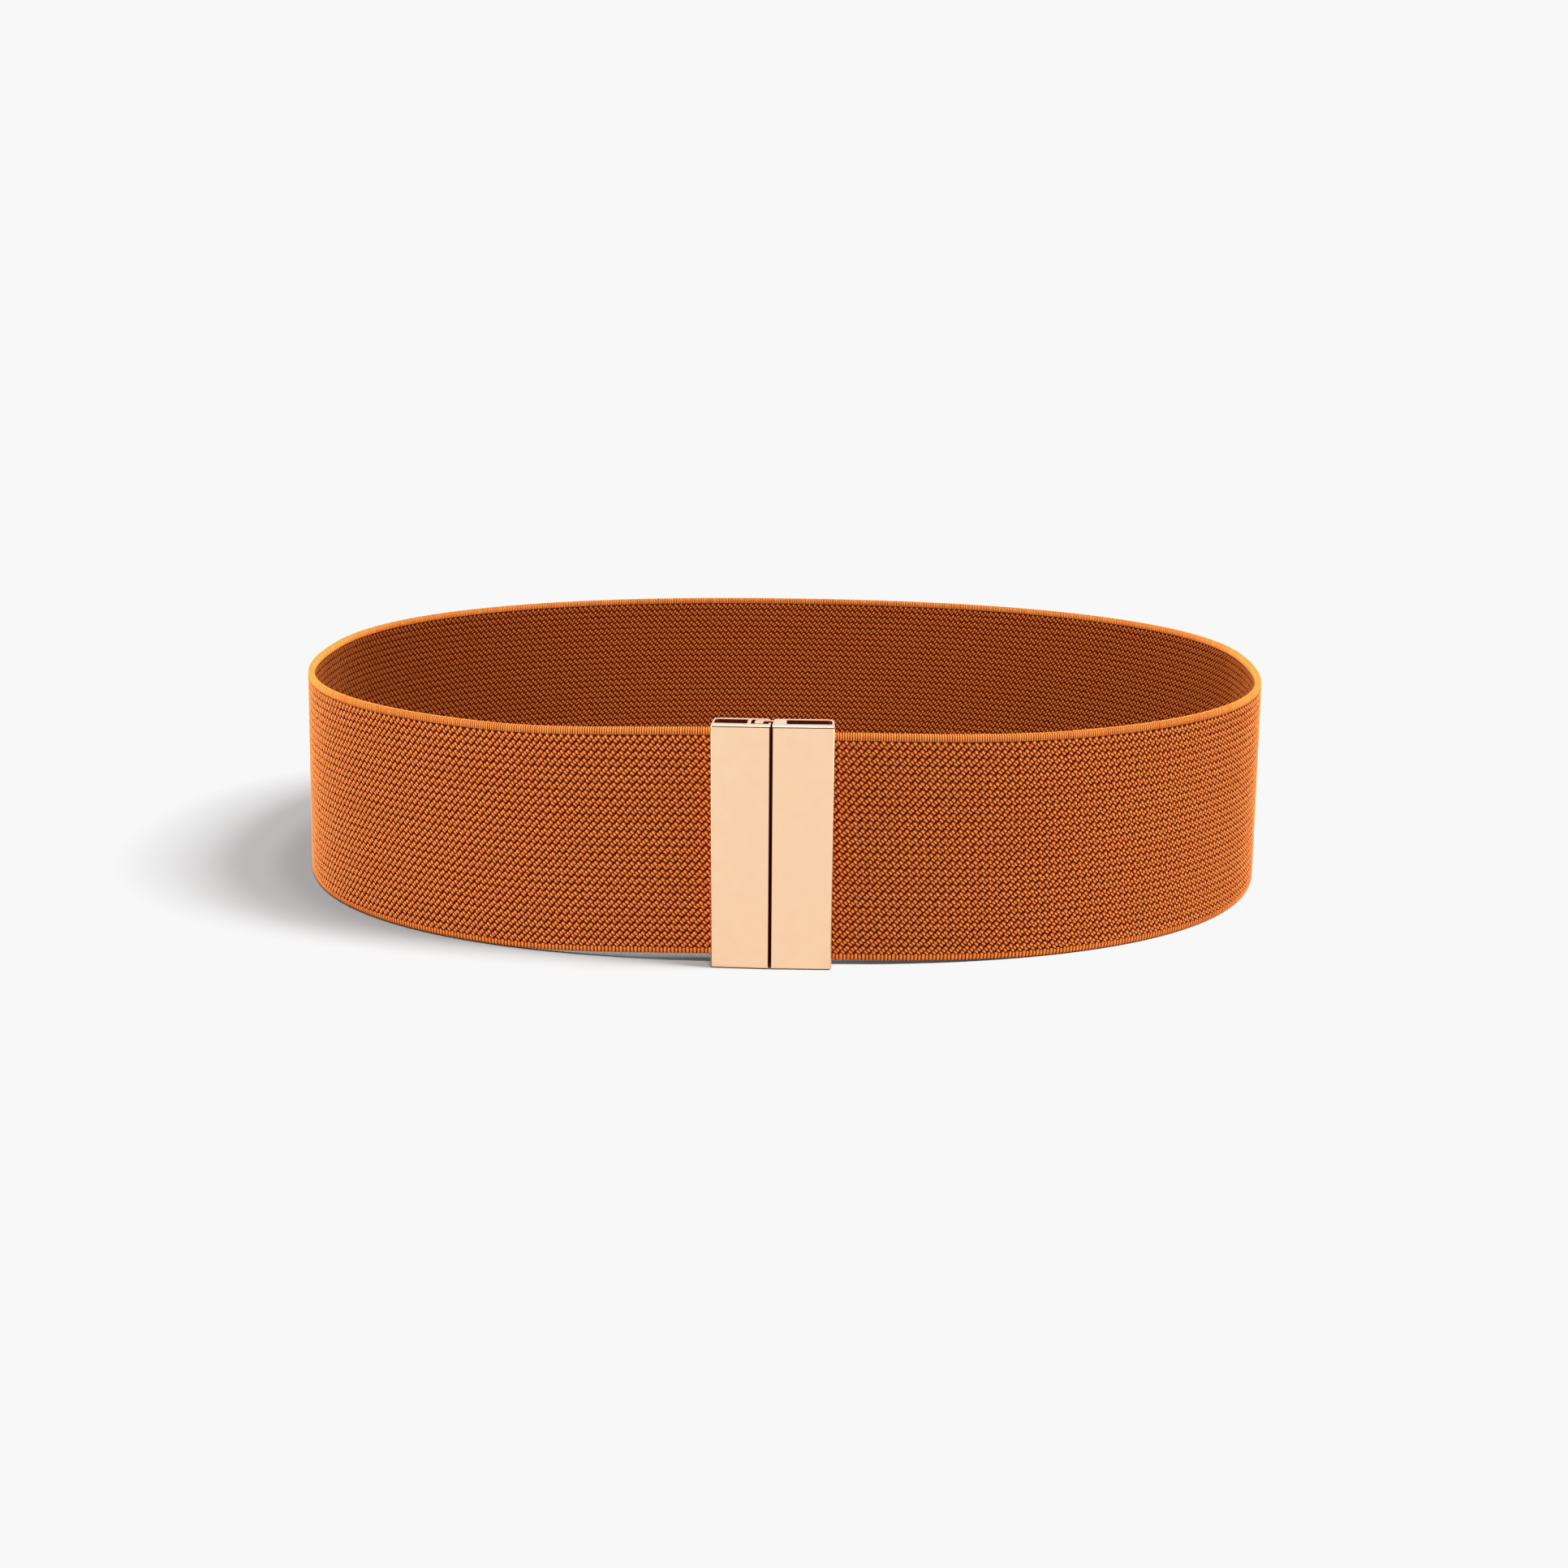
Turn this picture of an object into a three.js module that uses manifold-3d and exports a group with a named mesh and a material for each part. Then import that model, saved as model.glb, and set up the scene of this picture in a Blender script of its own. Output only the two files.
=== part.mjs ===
// Elastic stretch belt: one band of wide elastic webbing, closed at the front by a two-piece
// interlocking metal clasp. Millimetres, +Z up. The belt stands on its lower edge, the clasp
// faces -Y, and the origin is on the floor, at the middle of the whole belt.
import * as THREE from "three";
import { mergeVertices } from "three/addons/utils/BufferGeometryUtils.js";
import Module from "manifold-3d";

// Webbing
const WEBBING_WIDTH = 60;
const WEBBING_THICKNESS = 1.6;
const SELVEDGE_RADIUS = 0.6;
const HEM_THICKNESS = 3.3; // the webbing end, folded back on itself inside its pocket

// Plan of the loop, along the middle of the webbing, seen from above. It is a rounded oval. The
// power ratio sets how square it is: 2 would be an ellipse, more is squarer.
const LOOP_HALF_WIDTH = 141.3;
const LOOP_DEPTH_BACK = 109.6;
const LOOP_DEPTH_FRONT = 117.4;
const POWER_RATIO_BACK = 2.25;
const POWER_RATIO_FRONT = 2.4;
const LOOP_TURN = -2.5; // degrees, the oval's own turn on the floor

// How the soft wall stands: wider at its lower edge at both sides, and wider at its upper edge at
// the front right.
const SIDE_FLARE = 1.6;
const FRONT_FLARE = 1.2;

// The clasp stands on the floor, and carries the webbing a little above it on either side.
const SOCKET_SIDE_LIFT = 1.9;
const HOOK_SIDE_LIFT = 1.0;
const LIFT_RUN = 60; // length of webbing that comes down from the clasp to the floor

// Clasp, seen from above: depth runs back from its front face.
const CLASP_PLACE = -89.1; // degrees round the oval from +X, where the two halves meet
const CLASP_DEPTH = 8.3;
const CLASP_OVER_WEBBING = 1.8; // metal above the webbing's upper edge in the socket half
const CLASP_HEIGHT = SOCKET_SIDE_LIFT + WEBBING_WIDTH + CLASP_OVER_WEBBING;
const FRONT_WALL = 2.1;
const BACK_WALL = 1.4;
const OUTER_WALL = 0.6;
const FRONT_BEVEL = 0.4; // along the top and bottom edges of the front plates
const WEBBING_SEAT = 5.4; // from the front face to the middle of the webbing
const SOCKET_WIDTH = 14.9;
const HOOK_WIDTH = 15.6;
const SOCKET_TURN = -3.8; // degrees, each half's own turn, as they follow the waist
const HOOK_TURN = -0.5;
const FRONT_GAP = 0.35; // the line between the two front plates

// Channel of the socket half, and the hook that fills it
const CHANNEL_DEPTH = 5.1;
const PARTITION = 1;
const LIP_WIDTH = 0.7;
const LIP_HEIGHT = 1.4;
const BACK_NOTCH = 0.5;
const BEAD_WIDTH = 2.3;
const BEAD_TO_LIP = 1.3;
const TONGUE_THICKNESS = 1.3;
const HOOK_BAR = 3.7;

// Clearances
const HOOK_CLEARANCE = 0.35;
const WEBBING_CLEARANCE = 0.35;

// Corner radii of the clasp, seen from the front and then from above
const LOWER_CORNER_RADIUS = 1;
const EDGE_RADIUS = 0.3;
const BEAD_RADIUS = 0.7;
const NOTCH_RADIUS = 0.8;
const SHOULDER_RADIUS = 1.8;

// Fineness
const STATION_STEP = 4;
const PLAN_STEP = 6; // degrees between the points that the loop's plan is drawn through
const RUN_IN_ANGLE = 6; // degrees past each mouth where the webbing comes onto the plan
const CORNER_STEPS = 2;
const OUTLINE_SEGMENTS = 3;

const radians = THREE.MathUtils.degToRad;
const wasm = await Module();
wasm.setup();

const webbingMaterial = new THREE.MeshStandardMaterial({
  color: new THREE.Color(0xc0692a),
  roughness: 0.9,
  metalness: 0,
});
const claspMaterial = new THREE.MeshStandardMaterial({
  color: new THREE.Color(0xf3cba6),
  roughness: 0.3,
  metalness: 1,
});

// A point of the loop's plan at an angle round it, counted from +X towards +Y.
function planPoint(degrees) {
  const angle = radians(degrees);
  const back = Math.sin(angle) >= 0;
  const depth = back ? LOOP_DEPTH_BACK : LOOP_DEPTH_FRONT;
  const power = back ? POWER_RATIO_BACK : POWER_RATIO_FRONT;
  const across = (Math.abs(Math.cos(angle)) / LOOP_HALF_WIDTH) ** power;
  const along = (Math.abs(Math.sin(angle)) / depth) ** power;
  const reach = (across + along) ** (-1 / power);
  return new THREE.Vector2(Math.cos(angle), Math.sin(angle))
    .multiplyScalar(reach)
    .rotateAround(new THREE.Vector2(), radians(LOOP_TURN));
}

// Both halves turn about this point: the front edge of the line where they meet.
const meeting = planPoint(CLASP_PLACE).sub(new THREE.Vector2(0, WEBBING_SEAT));

// The two halves. Side is +1 for the half to the right and -1 for the one to the left. Inner is
// how far the pocket lies from the meeting line.
const HALF_GAP = FRONT_GAP / 2;
const hookHalf = {
  side: 1,
  turn: HOOK_TURN,
  width: HOOK_WIDTH,
  inner: HOOK_BAR,
  lift: HOOK_SIDE_LIFT,
};
const socketHalf = {
  side: -1,
  turn: SOCKET_TURN,
  width: SOCKET_WIDTH,
  inner: CHANNEL_DEPTH + PARTITION,
  lift: SOCKET_SIDE_LIFT,
};

// Pocket of a half, as distances from the meeting line.
function pocketReach(half) {
  return {
    from: HALF_GAP + half.inner,
    to: HALF_GAP + half.width - OUTER_WALL,
  };
}

// A point on the middle of the webbing where it lies in a half, at a distance from the meeting.
function seatPoint(half, distance) {
  return new THREE.Vector2(half.side * distance, WEBBING_SEAT)
    .rotateAround(new THREE.Vector2(), radians(half.turn))
    .add(meeting);
}

// The webbing's route: from its end in the hook half, out to the right, round the back and into
// the socket half.
function seatedRun(half) {
  const { from } = pocketReach(half);
  const mouth = HALF_GAP + half.width;
  return [from + WEBBING_CLEARANCE, (from + mouth) / 2, mouth, mouth + OUTER_WALL]
    .map((distance) => seatPoint(half, distance));
}

function mouthAngle(half) {
  const mouth = seatPoint(half, HALF_GAP + half.width);
  mouth.rotateAround(new THREE.Vector2(), -radians(LOOP_TURN));
  return THREE.MathUtils.radToDeg(mouth.angle());
}

function webbingRoute() {
  const start = mouthAngle(hookHalf) - 360 + RUN_IN_ANGLE;
  const end = mouthAngle(socketHalf) - RUN_IN_ANGLE;
  const steps = Math.round((end - start) / PLAN_STEP);
  const points = seatedRun(hookHalf);
  for (let i = 0; i <= steps; i++)
    points.push(planPoint(start + ((end - start) * i) / steps));
  points.push(...seatedRun(socketHalf).reverse());
  const route = new THREE.CatmullRomCurve3(
    points.map((point) => new THREE.Vector3(point.x, point.y, 0)),
    false,
    "centripetal",
  );
  route.arcLengthDivisions = 4000;
  return route;
}

// Section of the webbing at one station, as [distance out of the loop, height] pairs, with a
// rounded selvedge along both edges.
function webbingSection(outward, inward) {
  const corners = [
    [outward, 0, -90],
    [outward, WEBBING_WIDTH, 0],
    [-inward, WEBBING_WIDTH, 90],
    [-inward, 0, 180],
  ];
  const section = [];
  for (const [across, height, first] of corners) {
    const centreAcross = across - Math.sign(across) * SELVEDGE_RADIUS;
    const centreHeight = height === 0 ? SELVEDGE_RADIUS : height - SELVEDGE_RADIUS;
    for (let i = 0; i <= CORNER_STEPS; i++) {
      const angle = radians(first + (90 * i) / CORNER_STEPS);
      section.push([
        centreAcross + SELVEDGE_RADIUS * Math.cos(angle),
        centreHeight + SELVEDGE_RADIUS * Math.sin(angle),
      ]);
    }
  }
  return section;
}

// A closed body through rings of equally many points, with a flat cap at each end.
function loft(rings) {
  const count = rings[0].length;
  const index = [];
  for (let i = 0; i + 1 < rings.length; i++)
    for (let j = 0; j < count; j++) {
      const a = i * count + j;
      const b = i * count + ((j + 1) % count);
      index.push(a, a + count, b, b, a + count, b + count);
    }
  const last = (rings.length - 1) * count;
  for (let j = 1; j + 1 < count; j++) {
    index.push(0, j, j + 1);
    index.push(last, last + j + 1, last + j);
  }
  const geometry = new THREE.BufferGeometry().setFromPoints(rings.flat());
  geometry.setIndex(index);
  geometry.computeVertexNormals();
  return geometry;
}

function elasticBand() {
  const route = webbingRoute();
  const total = route.getLength();
  const half = WEBBING_THICKNESS / 2;

  // Distances along the route, with a close pair of stations where each hem begins.
  const hookHem = hemLength(hookHalf);
  const socketHem = total - hemLength(socketHalf);
  const stations = [0, hookHem - WEBBING_CLEARANCE, hookHem];
  const steps = Math.round((socketHem - hookHem) / STATION_STEP);
  for (let i = 1; i < steps; i++)
    stations.push(hookHem + ((socketHem - hookHem) * i) / steps);
  stations.push(socketHem, socketHem + WEBBING_CLEARANCE, total);

  const rings = stations.map((distance) => {
    const folded =
      distance < hookHem - WEBBING_CLEARANCE / 2 ||
      distance > socketHem + WEBBING_CLEARANCE / 2;
    const outward = folded ? HEM_THICKNESS - half : half;
    const place = route.getPointAt(distance / total);
    const along = route.getTangentAt(distance / total);
    const out = new THREE.Vector3(along.y, -along.x, 0);

    const free = freeShare(distance, total);
    const lift = THREE.MathUtils.lerp(free.lift, 0, free.share);
    const angle = Math.atan2(place.y, place.x);
    const flare = SIDE_FLARE * Math.cos(angle) ** 2;
    const lean =
      FRONT_FLARE * Math.max(0, -Math.sin(2 * angle)) * Math.max(0, Math.sign(place.x));
    return webbingSection(outward, half).map(([across, height]) => {
      const above = height / WEBBING_WIDTH - 0.5;
      const swing = (lean - flare) * above * free.share;
      return place
        .clone()
        .addScaledVector(out, across + swing)
        .setZ(lift + height);
    });
  });
  const band = new THREE.Mesh(loft(rings), webbingMaterial);
  band.name = "elastic_band";
  return band;
}

// Length of webbing in a pocket, up to where its hem begins.
function hemLength(half) {
  const { from, to } = pocketReach(half);
  return to - from - 2 * WEBBING_CLEARANCE;
}

// How far the webbing has come free of the clasp at a distance along it: 0 in the clasp and 1
// where it stands on the floor, with the lift of the nearer half.
function freeShare(distance, total) {
  const fromHook = distance - hemLength(hookHalf);
  const fromSocket = total - distance - hemLength(socketHalf);
  const nearHook = fromHook < fromSocket;
  return {
    lift: nearHook ? HOOK_SIDE_LIFT : SOCKET_SIDE_LIFT,
    share: THREE.MathUtils.smoothstep(Math.min(fromHook, fromSocket), 0, LIFT_RUN),
  };
}

// A closed outline from its corners [x, y, radius], each rounded by its own radius.
function roundedOutline(corners, Kind) {
  const outline = new Kind();
  corners.forEach(([x, y, radius], i) => {
    const corner = new THREE.Vector2(x, y);
    const before = corners.at(i - 1);
    const after = corners[(i + 1) % corners.length];
    const towards = ([ax, ay]) => {
      const step = new THREE.Vector2(ax, ay).sub(corner);
      return corner.clone().addScaledVector(step.normalize(), radius);
    };
    const start = towards(before);
    const end = towards(after);
    if (i === 0) outline.moveTo(start.x, start.y);
    else outline.lineTo(start.x, start.y);
    outline.quadraticCurveTo(x, y, end.x, end.y);
  });
  outline.closePath();
  return outline;
}

const POCKET_BACK = CLASP_DEPTH - BACK_WALL;

// Outline of the socket half. X is counted from the meeting line and Y back from the front face.
function socketOutline() {
  const face = -HALF_GAP;
  const lip = face - LIP_WIDTH;
  const lipTop = FRONT_WALL + LIP_HEIGHT;
  const channelEnd = face - CHANNEL_DEPTH;
  const notch = face - BACK_NOTCH;
  const outer = face - SOCKET_WIDTH;
  return roundedOutline(
    [
      [face, 0, EDGE_RADIUS],
      [face, lipTop, EDGE_RADIUS],
      [lip, lipTop, EDGE_RADIUS],
      [lip, FRONT_WALL, EDGE_RADIUS],
      [channelEnd, FRONT_WALL, EDGE_RADIUS],
      [channelEnd, POCKET_BACK, EDGE_RADIUS],
      [notch, POCKET_BACK, EDGE_RADIUS],
      [notch, CLASP_DEPTH, NOTCH_RADIUS],
      [outer, CLASP_DEPTH, SHOULDER_RADIUS],
      [outer, 0, EDGE_RADIUS],
    ],
    THREE.Shape,
  );
}

// Outline of the hook half. Its tongue, its bead and the face beside the socket half are drawn as
// the socket half lies, so the two fit at any turn.
function hookOutline() {
  const between = radians(SOCKET_TURN - HOOK_TURN);
  const asSocket = (x, y, radius) => {
    const point = new THREE.Vector2(x, y).rotateAround(new THREE.Vector2(), between);
    return [point.x, point.y, radius];
  };
  const besideSocket = (y) => HALF_GAP / Math.cos(between) - y * Math.tan(between);
  const tongueBack = POCKET_BACK - HOOK_CLEARANCE;
  const tongueFront = tongueBack - TONGUE_THICKNESS;
  const beadFront = FRONT_WALL + HOOK_CLEARANCE;
  const beadNear = -HALF_GAP - LIP_WIDTH - BEAD_TO_LIP;
  const beadFar = beadNear - BEAD_WIDTH;
  return roundedOutline(
    [
      [HALF_GAP + HOOK_WIDTH, 0, EDGE_RADIUS],
      [HALF_GAP + HOOK_WIDTH, CLASP_DEPTH, SHOULDER_RADIUS],
      [besideSocket(CLASP_DEPTH), CLASP_DEPTH, NOTCH_RADIUS],
      asSocket(HALF_GAP, tongueBack, EDGE_RADIUS),
      asSocket(beadFar, tongueBack, BEAD_RADIUS),
      asSocket(beadFar, beadFront, BEAD_RADIUS),
      asSocket(beadNear, beadFront, BEAD_RADIUS),
      asSocket(beadNear, tongueFront, EDGE_RADIUS),
      asSocket(HALF_GAP, tongueFront, EDGE_RADIUS),
      [besideSocket(0), 0, EDGE_RADIUS],
    ],
    THREE.Shape,
  );
}

// The pocket that holds the webbing's hem, open at the top and bottom of the half.
function pocketOutline(half) {
  const { from, to } = pocketReach(half);
  const near = half.side * from;
  const far = half.side * to;
  return roundedOutline(
    [
      [near, FRONT_WALL, EDGE_RADIUS],
      [far, FRONT_WALL, EDGE_RADIUS],
      [far, POCKET_BACK, SHOULDER_RADIUS - OUTER_WALL],
      [near, POCKET_BACK, EDGE_RADIUS],
    ],
    THREE.Path,
  );
}

function toSolid(geometry) {
  const bare = geometry.clone();
  bare.deleteAttribute("normal");
  bare.deleteAttribute("uv");
  const merged = mergeVertices(bare, 1e-4);
  return new wasm.Manifold(
    new wasm.Mesh({
      numProp: 3,
      vertProperties: merged.attributes.position.array,
      triVerts: new Uint32Array(merged.index.array),
    }),
  );
}

function toGeometry(solid) {
  const mesh = solid.getMesh();
  const geometry = new THREE.BufferGeometry();
  const position = new THREE.BufferAttribute(mesh.vertProperties, mesh.numProp);
  geometry.setAttribute("position", position);
  geometry.setIndex(new THREE.BufferAttribute(mesh.triVerts, 1));
  geometry.computeVertexNormals();
  return geometry;
}

// The room that a clasp half may take, seen from its side: its full depth and height, with the
// front plate's top and bottom edges bevelled.
function sideEnvelope(half) {
  const reach = HALF_GAP + half.width;
  const profile = new THREE.Shape([
    new THREE.Vector2(FRONT_BEVEL, 0),
    new THREE.Vector2(2 * CLASP_DEPTH, 0),
    new THREE.Vector2(2 * CLASP_DEPTH, CLASP_HEIGHT),
    new THREE.Vector2(FRONT_BEVEL, CLASP_HEIGHT),
    new THREE.Vector2(0, CLASP_HEIGHT - FRONT_BEVEL),
    new THREE.Vector2(0, FRONT_BEVEL),
  ]);
  const envelope = new THREE.ExtrudeGeometry(profile, { depth: 4 * reach, bevelEnabled: false });
  const alongX = new THREE.Matrix4().makeBasis(
    new THREE.Vector3(0, 1, 0),
    new THREE.Vector3(0, 0, 1),
    new THREE.Vector3(1, 0, 0),
  );
  return envelope.applyMatrix4(alongX).translate(-2 * reach, 0, 0);
}

// The same seen from the front: the lower outer corner is rounded, the upper one hardly, and the
// side towards the other half is left open.
function frontEnvelope(half) {
  const reach = HALF_GAP + half.width;
  const outer = half.side * reach;
  const open = -2 * outer;
  const profile = roundedOutline(
    [
      [outer, 0, LOWER_CORNER_RADIUS],
      [outer, CLASP_HEIGHT, EDGE_RADIUS],
      [open, CLASP_HEIGHT, EDGE_RADIUS],
      [open, 0, EDGE_RADIUS],
    ],
    THREE.Shape,
  );
  const envelope = new THREE.ExtrudeGeometry(profile, {
    depth: 3 * CLASP_DEPTH,
    bevelEnabled: false,
    curveSegments: OUTLINE_SEGMENTS,
  });
  return envelope.rotateX(Math.PI / 2).translate(0, 2 * CLASP_DEPTH, 0);
}

// A clasp half: its outline drawn up to the clasp's height, less the slot in its outer wall that
// the webbing goes in by.
function claspHalf(name, half, outline) {
  outline.holes.push(pocketOutline(half));
  const body = new THREE.ExtrudeGeometry(outline, {
    depth: CLASP_HEIGHT,
    bevelEnabled: false,
    curveSegments: OUTLINE_SEGMENTS,
  });

  const slot = new THREE.BoxGeometry(
    3 * OUTER_WALL,
    WEBBING_THICKNESS + 2 * WEBBING_CLEARANCE,
    WEBBING_WIDTH + 2 * WEBBING_CLEARANCE,
  );
  const wallMiddle = HALF_GAP + half.width - OUTER_WALL / 2;
  slot.translate(half.side * wallMiddle, WEBBING_SEAT, half.lift + WEBBING_WIDTH / 2);

  const solid = toSolid(body)
    .intersect(toSolid(sideEnvelope(half)))
    .intersect(toSolid(frontEnvelope(half)))
    .subtract(toSolid(slot));
  const mesh = new THREE.Mesh(toGeometry(solid), claspMaterial);
  mesh.name = name;
  mesh.position.set(meeting.x, meeting.y, 0);
  mesh.rotation.z = radians(half.turn);
  return mesh;
}

const belt = new THREE.Group();
belt.add(elasticBand());
belt.add(claspHalf("clasp_socket_half", socketHalf, socketOutline()));
belt.add(claspHalf("clasp_hook_half", hookHalf, hookOutline()));

// The belt's own middle goes to the origin, with its lowest edge on the floor.
const bounds = new THREE.Box3().setFromObject(belt, true);
const middle = bounds.getCenter(new THREE.Vector3());
belt.position.set(-middle.x, -middle.y, -bounds.min.z);

export default belt;
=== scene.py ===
import math

import bpy
import numpy as np
from mathutils import Euler, Matrix, Vector


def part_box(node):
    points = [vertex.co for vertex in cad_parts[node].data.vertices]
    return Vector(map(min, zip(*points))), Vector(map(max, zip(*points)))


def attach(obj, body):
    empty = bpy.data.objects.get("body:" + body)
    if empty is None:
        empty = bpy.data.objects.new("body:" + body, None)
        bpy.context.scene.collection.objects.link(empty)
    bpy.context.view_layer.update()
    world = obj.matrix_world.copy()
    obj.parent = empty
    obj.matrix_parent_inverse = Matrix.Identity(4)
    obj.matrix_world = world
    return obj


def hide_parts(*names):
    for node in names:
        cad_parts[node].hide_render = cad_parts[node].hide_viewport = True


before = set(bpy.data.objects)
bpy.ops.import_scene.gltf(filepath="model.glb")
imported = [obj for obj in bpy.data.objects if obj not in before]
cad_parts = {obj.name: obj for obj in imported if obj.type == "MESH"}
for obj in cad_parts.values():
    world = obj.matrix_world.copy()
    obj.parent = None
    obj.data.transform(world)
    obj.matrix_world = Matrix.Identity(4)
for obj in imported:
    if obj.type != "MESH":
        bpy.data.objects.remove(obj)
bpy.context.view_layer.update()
MM = 0.001


# The webbing: one length of woven elastic, 60 mm wide. Its rubber warp gives it a firm, thin, dark
# ground, and the yarn lies over that on both faces; the ground's dark colour is partly its own and partly
# painted shade for the bottom of the gaps. It is modelled flat, X along it, Z across it and its outer face
# towards -Y, then stood up along the loop with its ends held in the clasp.
WEBBING_WIDTH = 60 * MM
FACE = 0.8 * MM  # from the middle of the webbing to its woven face
GROUND_FACE = 0.5 * MM
GROUND_EDGE = 0.25 * MM  # the ground stops this far short of both edges

# Plan of the loop along the middle of the webbing, a rounded oval
LOOP_HALF_WIDTH = 141.3 * MM
LOOP_DEPTH_BACK = 109.6 * MM
LOOP_DEPTH_FRONT = 117.4 * MM
POWER_RATIO_BACK = 2.25
POWER_RATIO_FRONT = 2.4
LOOP_TURN = -2.5  # degrees
SIDE_FLARE = 1.6 * MM  # how far the lower edge stands out beyond the upper one, at both sides
FRONT_FLARE = 1.2 * MM  # and the upper edge beyond the lower one, at the front right

# Where the clasp holds the webbing
CLASP_PLACE = -89.1  # degrees round the loop
WEBBING_SEAT = 5.4 * MM  # from the clasp's front to the middle of the webbing
HALF_GAP = 0.175 * MM  # half of the line between the two plates
OUTER_WALL = 0.6 * MM  # the wall at the mouth of a pocket
CLEARANCE = 0.35 * MM
LIFT_RUN = 60 * MM  # the clasp lifts the webbing, which comes down to the floor over this length
# Each half of the clasp: its side, its turn in degrees, its plate's width from the line between the
# plates, where its pocket starts, and how far it lifts the webbing
HOOK_HALF = {"side": 1, "turn": -0.5, "width": 15.6 * MM, "inner": 3.7 * MM, "lift": 1.0 * MM}
SOCKET_HALF = {"side": -1, "turn": -3.8, "width": 14.9 * MM, "inner": 6.1 * MM, "lift": 1.9 * MM}
RUN_IN_ANGLE = 6  # degrees of the loop in which the webbing runs from its oval into the clasp
PLAN_STEP = 6  # degrees between the points that the webbing is drawn through
SPAN_STEPS = 40


def turned(point, degrees):
    """Turns a point of the plan about the origin."""
    return Matrix.Rotation(math.radians(degrees), 2) @ point


def plan_point(degrees):
    """Where the webbing's middle runs in plan, this far round the loop from its right end."""
    angle = math.radians(degrees)
    across, along = math.cos(angle), math.sin(angle)
    depth = LOOP_DEPTH_BACK if along >= 0 else LOOP_DEPTH_FRONT
    power = POWER_RATIO_BACK if along >= 0 else POWER_RATIO_FRONT
    reach = ((abs(across) / LOOP_HALF_WIDTH) ** power + (abs(along) / depth) ** power) ** (-1 / power)
    return turned(Vector((across, along)) * reach, LOOP_TURN)


MEETING = plan_point(CLASP_PLACE) - Vector((0, WEBBING_SEAT))


def seat_point(half, distance):
    """Where the webbing's middle lies in a half, this far from the line between the plates."""
    return turned(Vector((half["side"] * distance, WEBBING_SEAT)), half["turn"]) + MEETING


def hem_length(half):
    """How much of the webbing's end the pocket of a half holds."""
    return half["width"] - OUTER_WALL - half["inner"] - 2 * CLEARANCE


def seated_run(half):
    """The webbing's way out of a half, from its end in the pocket to just past the mouth."""
    pocket = HALF_GAP + half["inner"]
    mouth = HALF_GAP + half["width"]
    distances = (pocket + CLEARANCE, (pocket + mouth) / 2, mouth, mouth + OUTER_WALL)
    return [seat_point(half, distance) for distance in distances]


def mouth_angle(half):
    """How far round the loop the webbing leaves a half, in degrees."""
    mouth = turned(seat_point(half, HALF_GAP + half["width"]), -LOOP_TURN)
    return math.degrees(math.atan2(mouth.y, mouth.x)) % 360


def drawn_through(points):
    """A smooth line through the points, as closely spaced points of its own."""
    ends = [2 * points[0] - points[1], *points, 2 * points[-1] - points[-2]]
    line = []
    for before, start, end, after in zip(ends, ends[1:], ends[2:], ends[3:]):
        lead = math.sqrt((start - before).length)
        span = math.sqrt((end - start).length)
        trail = math.sqrt((after - end).length)
        leaving = (start - before) / lead - (end - before) / (lead + span) + (end - start) / span
        arriving = (end - start) / span - (after - start) / (span + trail) + (after - end) / trail
        leaving, arriving = leaving * span, arriving * span
        for step in range(SPAN_STEPS):
            t = step / SPAN_STEPS
            square = 3 * (end - start) - 2 * leaving - arriving
            cube = 2 * (start - end) + leaving + arriving
            line.append(start + leaving * t + square * t**2 + cube * t**3)
    return line + [points[-1]]


first_angle = mouth_angle(HOOK_HALF) - 360 + RUN_IN_ANGLE
last_angle = mouth_angle(SOCKET_HALF) - RUN_IN_ANGLE
plan_steps = round((last_angle - first_angle) / PLAN_STEP)
plan_angles = np.linspace(first_angle, last_angle, plan_steps + 1)
stations = seated_run(HOOK_HALF) + [plan_point(angle) for angle in plan_angles]
stations += seated_run(SOCKET_HALF)[::-1]
route = np.array(drawn_through(stations))
leg = np.linalg.norm(np.diff(route, axis=0), axis=1)
travelled = np.concatenate(([0], np.cumsum(leg)))
LENGTH = float(travelled[-1])
heading = np.gradient(route, travelled, axis=0)
heading /= np.linalg.norm(heading, axis=1)[:, None]

# The loop is drawn about its own oval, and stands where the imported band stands.
band_low, band_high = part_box("elastic_band")
outer_back = route[:, 1] - heading[:, 0] * FACE
loop_shift = np.array((
    (band_low.x + band_high.x) / 2 - (route[:, 0].min() + route[:, 0].max()) / 2,
    band_high.y - outer_back.max(),
))


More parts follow.
